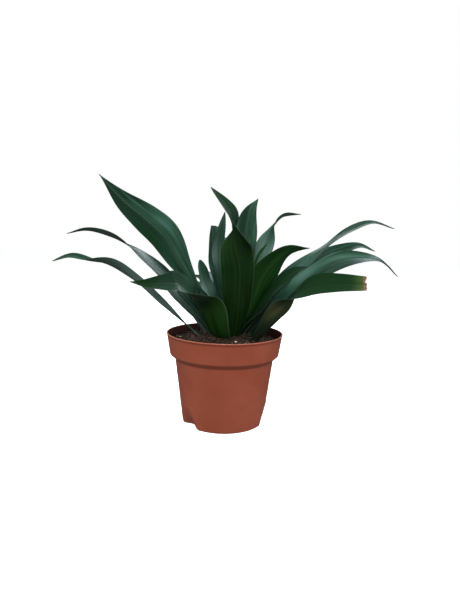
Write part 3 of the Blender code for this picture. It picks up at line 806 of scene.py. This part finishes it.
def make_grains(name, finish, count, smallest, largest, seed):
    """Loose grains strewn over the soil, sunk a little into it."""
    rng = np.random.default_rng(seed)
    points, faces, tones = [], [], []
    while len(tones) < count * GRAIN_CORNERS:
        x, y = rng.uniform(-GRAIN_BOX, GRAIN_BOX, 2)
        if hypot(x, y) > GRAIN_REACH:
            continue
        radius = smallest + (largest - smallest) * rng.uniform()**3     # small grains are commonest
        base = len(points)
        height = float(soil_height(x, y)) + GRAIN_LIFT * radius
        points += list(lump(rng, radius, rng.uniform(*GRAIN_STRETCH)) + (x, y, height))
        faces += [tuple(base + k for k in face) for face in ICOSAHEDRON_FACES]
        tones += [rng.uniform()] * GRAIN_CORNERS
    ob = mesh_piece(name, points, faces, [finish], sharp=25)
    write_attribute(ob.data, "tone", "FLOAT", tones)


def make_fibres(finish, count, seed):
    """Thin bent fibres lying on the peat."""
    rng = np.random.default_rng(seed)
    last = FIBRE_RINGS - 1
    points, faces, tones = [], [], []
    for _ in range(count):
        bearing, out = rng.uniform(0, 2 * pi), FIBRE_START * rng.uniform()**0.5
        x, y = out * cos(bearing), out * sin(bearing)
        heading, length = rng.uniform(0, 2 * pi), rng.uniform(*FIBRE_LENGTHS)
        bend, thick = rng.uniform(*FIBRE_BENDS), rng.uniform(*FIBRE_HALVES)
        base = len(points)
        for k in range(FIBRE_RINGS):
            heading += bend
            x, y = x + length / FIBRE_RINGS * cos(heading), y + length / FIBRE_RINGS * sin(heading)
            away = hypot(x, y)
            if away > FIBRE_REACH:
                x, y = x * FIBRE_REACH / away, y * FIBRE_REACH / away
            arch = FIBRE_ARCH * sin(pi * k / last) * rng.uniform(*FIBRE_ARCH_SHARES)
            z = float(soil_height(x, y)) + thick + arch
            side = (-sin(heading), cos(heading))
            for a in range(3):
                turn = 2 * pi * a / 3
                points.append((x + side[0] * thick * cos(turn), y + side[1] * thick * cos(turn),
                               z + thick * sin(turn)))
        for low in range(base, base + 3 * last, 3):
            for a in range(3):
                b = (a + 1) % 3
                faces.append((low + a, low + b, low + 3 + b, low + 3 + a))
        end = base + 3 * last
        faces += [(base + 2, base + 1, base), (end, end + 1, end + 2)]
        tones += [rng.uniform()] * 3 * FIBRE_RINGS
    ob = mesh_piece("peat_fibres", points, faces, [finish], sharp=80)
    write_attribute(ob.data, "tone", "FLOAT", tones)


# Leaf shape, as the CAD leaves, with more rows and columns

def through(values, along):
    """Smooth run through values that stand at even steps from 0 to 1."""
    values = np.array(values, float)
    if len(values) == 1:
        return values[0] + 0 * along
    x = np.clip(along, 0, 1) * (len(values) - 1)
    i = np.minimum(x.astype(int), len(values) - 2)
    f = x - i
    padded = np.r_[2 * values[0] - values[1], values, 2 * values[-1] - values[-2]]
    a, b, c, d = padded[i], padded[i + 1], padded[i + 2], padded[i + 3]
    return b + 0.5 * f * (c - a + f * (2 * a - 5 * b + 4 * c - d + f * (3 * (b - c) + d - a)))


def smooth_curve(points):
    """Centripetal Catmull-Rom curve through the points, read at even steps of its length."""
    p = np.array(points, float)
    p = np.vstack([2 * p[0] - p[1], p, 2 * p[-1] - p[-2]])
    curve = []
    for a, b, c, d in zip(p[:-3], p[1:-2], p[2:-1], p[3:]):
        t1 = np.linalg.norm(b - a)**0.5
        t2 = t1 + np.linalg.norm(c - b)**0.5
        t3 = t2 + np.linalg.norm(d - c)**0.5
        for t in np.linspace(t1, t2, CURVE_STEPS, endpoint=False):
            ab = (t1 - t) / t1 * a + t / t1 * b
            bc = (t2 - t) / (t2 - t1) * b + (t - t1) / (t2 - t1) * c
            cd = (t3 - t) / (t3 - t2) * c + (t - t2) / (t3 - t2) * d
            abc = (t2 - t) / t2 * ab + t / t2 * bc
            bcd = (t3 - t) / (t3 - t1) * bc + (t - t1) / (t3 - t1) * cd
            curve.append((t2 - t) / (t2 - t1) * abc + (t - t1) / (t2 - t1) * bcd)
    curve.append(p[-2])
    curve = np.array(curve)
    run = np.r_[0, np.cumsum(np.linalg.norm(np.diff(curve, axis=0), axis=1))]
    even = np.linspace(0, run[-1], FINE_ROWS + 1)
    return np.stack([np.interp(even, run, curve[:, k]) for k in range(3)], -1), run[-1]


def midrib_frames(leaf):
    """Points of the midrib with the direction across the blade and out of its upper face."""
    first = leaf["via"][0]
    bearing = np.arctan2(first[1], first[0] - STEM_X)
    foot = STEM_RADIUS + GAP + LEAF_THICKNESS / 2
    start = (STEM_X + foot * cos(bearing), foot * sin(bearing), leaf["node"])
    points, length = smooth_curve([start] + leaf["via"])
    ahead = np.gradient(points, axis=0)
    ahead /= np.linalg.norm(ahead, axis=1)[:, None]
    across = np.array([-sin(bearing), cos(bearing), 0.0])
    sides = []
    for tangent in ahead:
        across = across - tangent * (across @ tangent)
        across = across / np.linalg.norm(across)
        sides.append(across)
    sides = np.array(sides)
    faces = np.cross(ahead, sides)
    along = np.linspace(0, 1, FINE_ROWS + 1)
    roll = np.radians(through(leaf["roll"], along))
    if "twist" in leaf:
        where, span, degrees = leaf["twist"]
        share = np.clip((along - where) / span + 0.5, 0, 1)
        roll = roll + radians(degrees) * share**2 * (3 - 2 * share)
    c = np.cos(roll)[:, None]
    s = np.sin(roll)[:, None]
    return points, sides * c + faces * s, faces * c - sides * s, length


def half_widths(leaf, along):
    """Half the leaf's width at each share of its length."""
    peak = leaf["peak"]
    x = along * leaf["reach"]
    blade = np.maximum(np.sin(pi * x**(np.log(0.5) / np.log(peak))), 0)
    blade = np.where(x > peak, blade**leaf["taper"], blade**leaf["neck"])
    foot = leaf["foot"] / 2 * (1 - along)**FOOT_SPREAD
    return np.hypot(leaf["width"] / 2 * blade, foot) + EDGE_HALF


def torn_end(grid, along, number):
    """The same surface with its columns cut short by uneven amounts."""
    columns = np.arange(grid.shape[1])
    short = TORN_SHARE
    for seed, (depth, width) in ((number, DEEP_TEARS), (number + 50, SMALL_TEARS)):
        short = short + depth * value_noise(columns, 0 * columns, width, seed)
    torn = np.empty_like(grid)
    for column in columns:
        for axis in range(3):
            kept = along * (1 - max(short[column], 0))
            torn[:, column, axis] = np.interp(kept, along, grid[:, column, axis])
    return torn


def blade_surface(leaf, number):
    """Middle surface of a leaf with its distances across and along and its half widths."""
    along = np.linspace(0, 1, LEAF_ROWS + 1)
    fine = np.linspace(0, 1, FINE_ROWS + 1)
    points, sides, faces, length = midrib_frames(leaf)
    points, sides, faces = [np.stack([np.interp(along, fine, field[:, k]) for k in range(3)], -1)
                            for field in (points, sides, faces)]
    half = half_widths(leaf, along)
    away = np.hypot(points[:, 0] - STEM_X, points[:, 1])
    clasp = np.minimum(2 * half / away, radians(LARGEST_CLASP))
    bend = np.maximum(np.radians(through(leaf["gutter"], along)), clasp)
    curvature = (bend / (2 * half))[:, None]
    v = np.linspace(-1, 1, LEAF_COLUMNS + 1)
    u = (np.sign(v) * np.abs(v)**COLUMN_CROWDING)[None, :]
    across = u * half[:, None]
    arc = across * curvature
    ripple = np.sin(2 * pi * EDGE_WAVES * along[:, None] + np.where(u > 0, EDGE_LAG, 0))
    ripple = EDGE_WAVE * np.sin(pi * along[:, None]) * u**2 * ripple
    pleat = np.sin(2 * pi * across / PLEAT_PITCH + number + 2 * along[:, None])
    pleat = PLEAT_DEPTH * pleat * (1 - u**4) * np.sin(pi * along[:, None])
    lateral = np.sin(arc) / curvature
    lift = (1 - np.cos(arc)) / curvature + ripple + pleat
    grid = points[:, None] + sides[:, None] * lateral[..., None] + faces[:, None] * lift[..., None]
    if leaf["reach"] < 1:
        grid = torn_end(grid, along, number)
    return grid, across, along * length, half


def leaf_tone(node, across, half, share):
    """Painted light and shade over the leaf's surface, between the four tones of LEAF_TONES."""
    foot, first, second, tip = LEAF_TONES.get(node, PLAIN_TONES)
    tone = first + (second - first) * (0.5 + 0.5 * np.tanh(TONE_TURN * across / half[:, None]))
    tone = tone + (foot - tone) * np.clip(1 - share / FOOT_TONE_END, 0, 1)
    return tone + (tip - tone) * np.clip((share - TIP_TONE_START) / TIP_TONE_SPAN, 0, 1)


def blade_faces(rows, columns):
    """Faces of a leaf's upper side, underside and edge, and which of its three finishes each has."""
    count = rows * columns
    at = lambda i, j, side: side * count + i * columns + j
    faces, kinds = [], []
    for i in range(rows - 1):
        for j in range(columns - 1):
            a, b, c, d = at(i, j, 0), at(i + 1, j, 0), at(i + 1, j + 1, 0), at(i, j + 1, 0)
            faces += [(a, b, c, d), (a + count, d + count, c + count, b + count)]
            kinds += [0, 1]
    rim = [(i, 0) for i in range(rows)] + [(rows - 1, j) for j in range(1, columns)]
    rim += [(i, columns - 1) for i in range(rows - 2, -1, -1)] + [(0, j) for j in range(columns - 2, 0, -1)]
    for (i, j), (k, m) in zip(rim, rim[1:] + rim[:1]):
        faces.append((at(i, j, 0), at(i, j, 1), at(k, m, 1), at(k, m, 0)))
        kinds.append(2)
    return faces, kinds


def make_leaf(node, leaf, number, finishes):
    """A leaf with an upper face, an underside and an edge, each with its own finish."""
    grid, across, along, half = blade_surface(leaf, number)
    out = np.cross(np.gradient(grid, axis=0), np.gradient(grid, axis=1))
    out /= np.linalg.norm(out, axis=-1, keepdims=True)
    share = np.abs(across) / half[:, None]
    thick = MARGIN_THICKNESS + (LEAF_THICKNESS - MARGIN_THICKNESS) * (1 - share**3)
    rib = np.exp(-(across / MIDRIB_HALF)**2) * np.minimum(1, half / MIDRIB_FULL_HALF)[:, None]
    upper = grid + out * (thick / 2 - MIDRIB_GROOVE * rib)[..., None]
    lower = grid - out * (thick / 2 + MIDRIB_KEEL * rib)[..., None]
    points = np.concatenate([upper.reshape(-1, 3), lower.reshape(-1, 3)])
    faces, kinds = blade_faces(*grid.shape[:2])
    slot = LEAF_KINDS.get(node, PLAIN_KIND)
    ob = mesh_piece(node.replace("leaf", "blade"), points, faces, finishes[slot], node, sharp=60)
    ob.data.polygons.foreach_set("material_index", kinds)
    blade = np.stack([across, np.broadcast_to(along[:, None], across.shape),
                      np.broadcast_to(half[:, None], across.shape)], -1).reshape(-1, 3) * MM
    write_attribute(ob.data, "blade", "FLOAT_VECTOR", np.concatenate([blade, blade]))
    to_tip = np.full(across.shape, WORN_LENGTH)
    if node == "leaf_right_cut":
        to_tip = np.broadcast_to((along[-1] - along)[:, None] * MM, across.shape)
    # the tone of painted light and shade over the blade
    tone = leaf_tone(node, across, half, (along / along[-1])[:, None])
    painted_tone_cut_number = np.stack([tone, to_tip, np.full(tone.shape, number)], -1).reshape(-1, 3)
    write_attribute(ob.data, "painted_tone_cut_number", "FLOAT_VECTOR", np.concatenate([painted_tone_cut_number, painted_tone_cut_number]))


# Camera, light and floor

CAMERA_PLACE = (4.7, -462.0, 183.0)
CAMERA_DIP = 7.75               # degrees
CAMERA_ROLL = 1.48
CAMERA_LENS = 26.54             # focal length on Blender's 36 mm sensor
CAMERA_NEAREST = 0.01           # metres
WHITE = (1.0, 1.0, 1.0, 1.0)
ROOM_TINT = (0.90, 0.96, 1.0, 1.0)
ROOM_ABOVE = 0.22
ROOM_BELOW = 0.28
ROOM_BACK_DIM = 0.6
FLOOR_REACH = 6.0               # metres
FLOOR_GLOW = 0.82
FLOOR_WHITES = (0.86, 0.86, 0.86), (0.88, 0.88, 0.88)

# Lamps, in metres and watts; an unmirrored one leaves no highlights
LAMPS = [
    dict(name="top_light", place=(-0.15, -0.05, 1.2), target=(0.0, 0.0, 0.12),
         width=0.8, height=0.6, power=12.0, colour=(0.93, 0.98, 1.0), mirrored=False),
    dict(name="front_light", place=(0.1, -1.2, 0.8), target=(0.0, 0.0, 0.1),
         width=1.0, height=0.6, power=20.0, colour=(1.0, 0.99, 0.97), mirrored=False),
    dict(name="sheen_light", place=(0.35, 0.9, 0.9), target=(0.0, 0.0, 0.15),
         width=0.9, height=0.5, power=6.0, colour=(0.82, 0.93, 1.0), mirrored=True),
    dict(name="right_light", place=(0.9, -0.1, 0.5), target=(0.0, 0.0, 0.1),
         width=0.5, height=0.8, power=5.4, colour=(1.0, 1.0, 1.0), mirrored=False),
    dict(name="left_light", place=(-0.9, -0.1, 0.5), target=(0.0, 0.0, 0.1),
         width=0.5, height=0.8, power=6.0, colour=(1.0, 1.0, 1.0), mirrored=False),
]


def make_camera():
    data = bpy.data.cameras.new("camera")
    data.lens = CAMERA_LENS
    data.clip_start = CAMERA_NEAREST
    camera = bpy.data.objects.new("camera", data)
    bpy.context.scene.collection.objects.link(camera)
    turn = Matrix.Rotation(radians(90 - CAMERA_DIP), 4, "X") @ Matrix.Rotation(radians(CAMERA_ROLL), 4, "Z")
    camera.matrix_world = Matrix.Translation([value * MM for value in CAMERA_PLACE]) @ turn
    bpy.context.scene.camera = camera


def make_softbox(name, place, target, width, height, power, colour, mirrored):
    """A flat lamp at `place` facing `target`."""
    data = bpy.data.lights.new(name, "AREA")
    data.shape = "RECTANGLE"
    data.size, data.size_y = width, height
    data.energy = power
    data.color = colour
    lamp = bpy.data.objects.new(name, data)
    bpy.context.scene.collection.objects.link(lamp)
    lamp.location = place
    aim = (lamp.location - Matrix.Translation(target).translation).to_track_quat("Z", "Y")
    lamp.rotation_euler = aim.to_euler()
    lamp.visible_glossy = mirrored


def make_world():
    """A white backdrop to the camera, and a plain room, dimmer behind the plant, to all else."""
    world = bpy.data.worlds.new("studio")
    bpy.context.scene.world = world
    world.use_nodes = True
    tree = Tree(world.node_tree, "World Output")
    way = tree.add("SeparateXYZ", None, {"Vector": tree.add("TexCoord", output="Generated")})
    upward, behind = way.out("Z").ramp(-0.6, 0.9), way.out("Y").ramp(0.3, 0.9)
    glow = (ROOM_BELOW + (ROOM_ABOVE - ROOM_BELOW) * upward) * (1.0 - ROOM_BACK_DIM * behind)
    room = tree.add("Background", None, {"Color": ROOM_TINT, "Strength": glow})
    backdrop = tree.add("Background", None, {"Color": WHITE})
    seen = tree.add("LightPath", output="Is Camera Ray")
    tree.feed("Surface", tree.add("MixShader", None, {0: seen, 1: room, 2: backdrop}))


def make_floor():
    """White paper that glows a little; it's part of the stage, not of the plant."""
    finish = Finish("floor_paper", Roughness=0.9, Specular_IOR_Level=0.0, Emission_Strength=FLOOR_GLOW,
                    Emission_Color=WHITE)
    fleck = finish.noise(finish.place(), 40.0, 2.0)
    finish.feed("Base Color", finish.blend(fleck, *FLOOR_WHITES))
    mesh = bpy.data.meshes.new("floor")
    corners = [(FLOOR_REACH * x, FLOOR_REACH * y, 0) for x, y in ((-1, -1), (1, -1), (1, 1), (-1, 1))]
    mesh.from_pydata(corners, [], [(0, 1, 2, 3)])
    mesh.materials.append(finish.material)
    floor = bpy.data.objects.new("floor", mesh)
    bpy.context.scene.collection.objects.link(floor)
    floor.visible_diffuse = False
    floor.visible_glossy = False


# The whole scene

finishes = leaf_finishes()
for number, (node, leaf) in enumerate(LEAVES.items()):
    make_leaf(node, PLAIN_LEAF | leaf, number, finishes)
make_pot(pot_finish())
make_soil(soil_finish())
crumbs = crumb_finish()
make_grains("peat_crumbs", crumbs, count=1500, smallest=0.4, largest=1.7, seed=11)
make_grains("pale_grit", grit_finish(), count=26, smallest=0.5, largest=1.3, seed=12)
make_fibres(crumbs, count=150, seed=13)
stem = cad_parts["stem"]
stem.material_slots[0].material = stem_finish()

make_camera()
make_world()
for lamp in LAMPS:
    make_softbox(**lamp)
make_floor()
bpy.context.scene.view_settings.view_transform = "Standard"
